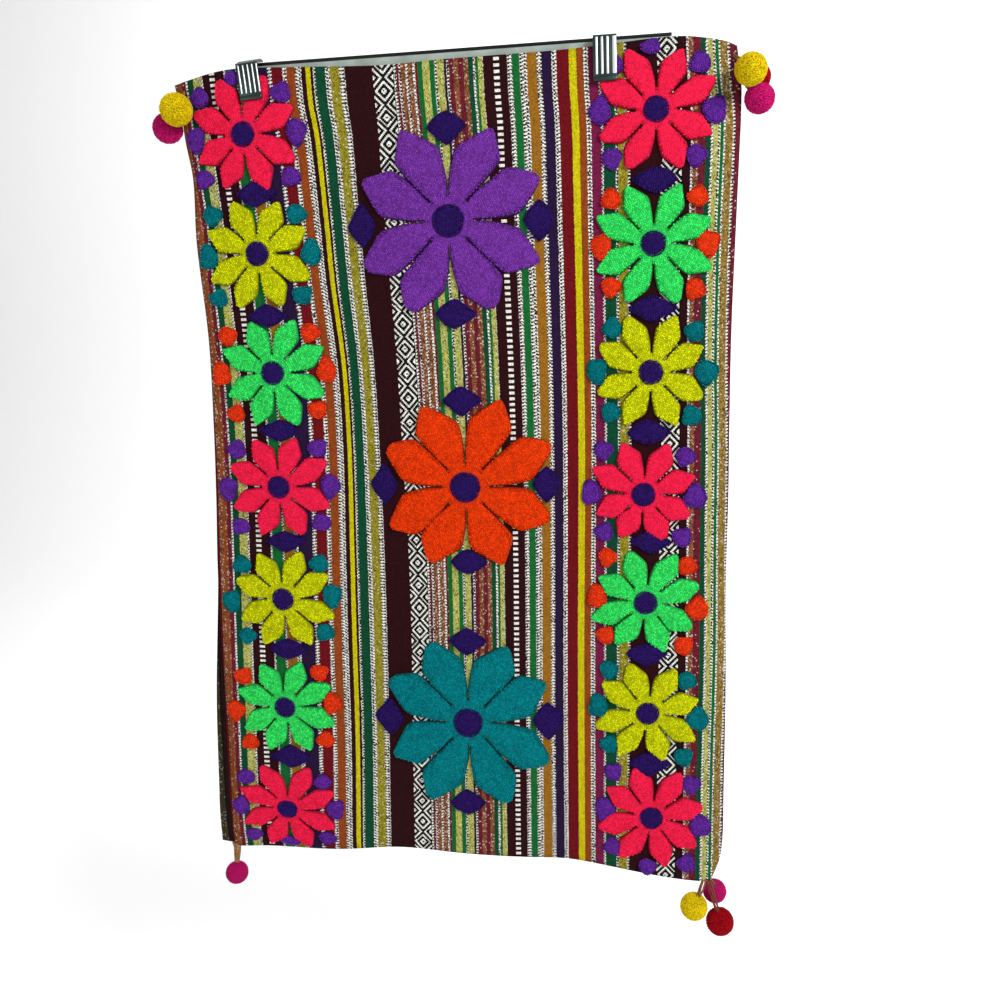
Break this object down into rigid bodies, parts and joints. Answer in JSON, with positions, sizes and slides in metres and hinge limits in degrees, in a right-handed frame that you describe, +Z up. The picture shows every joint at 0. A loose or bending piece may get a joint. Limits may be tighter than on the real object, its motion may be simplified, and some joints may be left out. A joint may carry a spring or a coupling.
{
  "type": "pillow cover hung on a clip hanger bar",
  "caption": "Striped handwoven pillow cover with raised embroidered flowers and corner pompoms, hung by its top edge from the clips of a plain hanger bar.",
  "frame": {"origin": "top middle of the hanger's rail", "axes": "+Z up, -Y out of the embroidered front, +X to the viewer's right"},
  "size_m": [0.5508, 0.0582, 0.8389],
  "materials": {
    "striped_cloth": "handwoven striped wool cloth",
    "yarn_pink": "raised embroidery yarn",
    "yarn_yellow": "raised embroidery yarn",
    "yarn_green": "raised embroidery yarn",
    "yarn_purple": "raised embroidery yarn",
    "yarn_orange": "raised embroidery yarn",
    "yarn_teal": "raised embroidery yarn",
    "yarn_indigo": "raised embroidery yarn",
    "pompom_sun": "cut yarn pile",
    "pompom_magenta": "cut yarn pile",
    "pompom_crimson": "cut yarn pile",
    "bar_plastic": "pale moulded plastic",
    "rail_metal": "dark satin metal",
    "clip_steel": "ribbed bright steel"
  },
  "bodies": {
    "root": {"front_panel": "striped_cloth", "back_panel": "striped_cloth", "flower_left_1": "yarn_pink", "eye_left_1": "yarn_indigo", "flower_left_2": "yarn_yellow", "eye_left_2": "yarn_indigo", "flower_left_3": "yarn_green", "eye_left_3": "yarn_indigo", "flower_left_4": "yarn_pink", "eye_left_4": "yarn_indigo", "flower_left_5": "yarn_yellow", "eye_left_5": "yarn_indigo", "flower_left_6": "yarn_green", "eye_left_6": "yarn_indigo", "flower_left_7": "yarn_pink", "eye_left_7": "yarn_indigo", "flower_right_1": "yarn_pink", "eye_right_1": "yarn_indigo", "flower_right_2": "yarn_green", "eye_right_2": "yarn_indigo", "flower_right_3": "yarn_yellow", "eye_right_3": "yarn_indigo", "flower_right_4": "yarn_pink", "eye_right_4": "yarn_indigo", "flower_right_5": "yarn_green", "eye_right_5": "yarn_indigo", "flower_right_6": "yarn_yellow", "eye_right_6": "yarn_indigo", "flower_right_7": "yarn_pink", "eye_right_7": "yarn_indigo", "flower_middle_1": "yarn_purple", "eye_middle_1": "yarn_indigo", "flower_middle_2": "yarn_orange", "eye_middle_2": "yarn_indigo", "flower_middle_3": "yarn_teal", "eye_middle_3": "yarn_indigo", "pompom_top_left_1": "pompom_sun", "pompom_top_left_2": "pompom_magenta", "pompom_top_right_1": "pompom_sun", "pompom_top_right_2": "pompom_magenta", "pompom_top_right_3": "pompom_crimson", "pompom_low_left_1": "pompom_magenta", "pompom_low_right_1": "pompom_sun", "pompom_low_right_2": "pompom_magenta", "pompom_low_right_3": "pompom_crimson", "hanger_bar": "bar_plastic", "hanger_rail": "rail_metal", "clip_left_front": "clip_steel", "clip_left_back": "clip_steel", "clip_left_saddle": "clip_steel", "clip_right_front": "clip_steel", "clip_right_back": "clip_steel", "clip_right_saddle": "clip_steel"}
  },
  "joints": []
}
